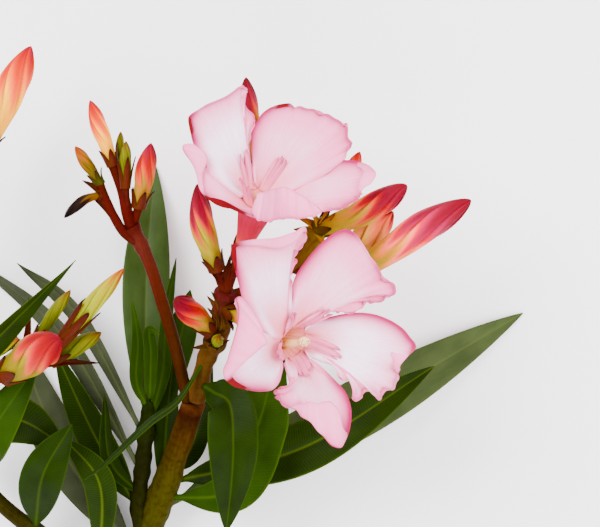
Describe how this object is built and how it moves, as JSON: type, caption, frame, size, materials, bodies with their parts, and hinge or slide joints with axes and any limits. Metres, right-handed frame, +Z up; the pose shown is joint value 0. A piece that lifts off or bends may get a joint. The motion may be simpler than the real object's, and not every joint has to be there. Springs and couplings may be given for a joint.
{
  "type": "cut oleander branch",
  "caption": "Cut flowering oleander branch lying flat, with open pink blooms, clusters of wound buds and narrow leaves.",
  "frame": {"origin": "middle of the branch's footprint, on the surface it lies on", "axes": "+Z up, away from the surface, +Y along the branch from its cut end to its flowers, +X to its right"},
  "size_m": [0.1446, 0.1396, 0.0735],
  "materials": {
    "bark": "satin",
    "peduncle": "satin",
    "leaf": "satin",
    "petal": "matte",
    "bud": "satin"
  },
  "bodies": {
    "root": {"bloom_lower": "petal", "bloom_upper": "petal", "bud_axis_small": "bud", "bud_back": "bud", "bud_cluster_left": "bud", "bud_cluster_low": "bud", "bud_cluster_pink": "bud", "bud_cluster_up": "bud", "bud_cluster_yellow": "bud", "bud_left_calyx": "bud", "bud_left_green": "bud", "bud_left_pale": "bud", "bud_left_red": "bud", "bud_left_small": "bud", "bud_left_wilted": "bud", "bud_right_long": "bud", "bud_right_middle": "bud", "bud_right_tip": "bud", "bud_right_upper": "bud", "bud_short": "bud", "bud_tall": "bud", "bud_top_left": "bud", "flower_axis": "peduncle", "leaf_behind_stem": "leaf", "leaf_edge_on": "leaf", "leaf_front_broad": "leaf", "leaf_front_strip": "leaf", "leaf_left_back": "leaf", "leaf_left_long": "leaf", "leaf_left_low": "leaf", "leaf_left_slope": "leaf", "leaf_left_upper": "leaf", "leaf_left_upright": "leaf", "leaf_middle_low": "leaf", "leaf_middle_narrow": "leaf", "leaf_middle_right": "leaf", "leaf_middle_tall": "leaf", "leaf_right_back": "leaf", "leaf_right_front": "leaf", "leaf_shoot_broad": "leaf", "leaf_shoot_front": "leaf", "leaf_shoot_low": "leaf", "leaf_shoot_round": "leaf", "leaf_young_curled": "leaf", "leaf_young_left": "leaf", "left_cluster_stem": "peduncle", "left_peduncle": "peduncle", "left_shoot": "bark", "middle_shoot": "bark", "stem": "bark", "top_left_stem": "peduncle"}
  },
  "joints": []
}
